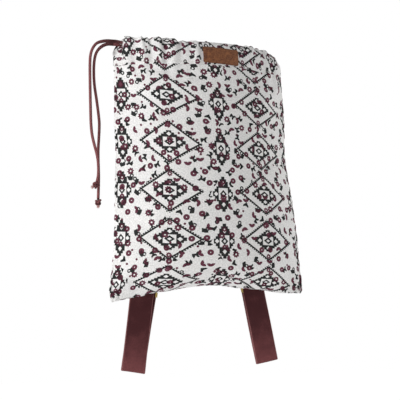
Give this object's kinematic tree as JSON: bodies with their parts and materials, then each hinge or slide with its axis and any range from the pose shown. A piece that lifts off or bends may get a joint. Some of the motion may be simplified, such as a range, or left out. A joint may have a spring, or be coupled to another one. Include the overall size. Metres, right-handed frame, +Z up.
{
  "type": "drawstring backpack",
  "caption": "Stuffed canvas drawstring backpack with a gathered cord casing round its shut mouth, knotted cord ends and webbing shoulder straps hanging in loops.",
  "frame": {"origin": "on the back, at the middle of the seam that joins the casing to the sack, where the shoulder straps are sewn on and the bag hangs from", "axes": "+Z up along the hanging bag, +Y out of the back towards the wearer, +X towards the bag's right side as seen from its front"},
  "size_m": [0.384, 0.1236, 0.576],
  "materials": {
    "printed_canvas": "off-white cotton canvas, printed in black and maroon",
    "maroon_cord": "round braided cotton cord, dusty maroon",
    "maroon_webbing": "flat woven webbing, dark maroon",
    "tan_leather": "smooth brown leather, bare",
    "ochre_thread": "sewing thread"
  },
  "bodies": {
    "root": {"sack_body": "printed_canvas", "casing_band": "printed_canvas", "leather_patch": "tan_leather", "drawcord_run": "maroon_cord", "drawcord_tail_upper": "maroon_cord", "drawcord_tail_lower": "maroon_cord", "end_knot_upper": "maroon_cord", "end_knot_lower": "maroon_cord", "shoulder_strap_left": "maroon_webbing", "shoulder_strap_right": "maroon_webbing", "strap_tack_left": "ochre_thread", "strap_tack_right": "ochre_thread"}
  },
  "joints": []
}
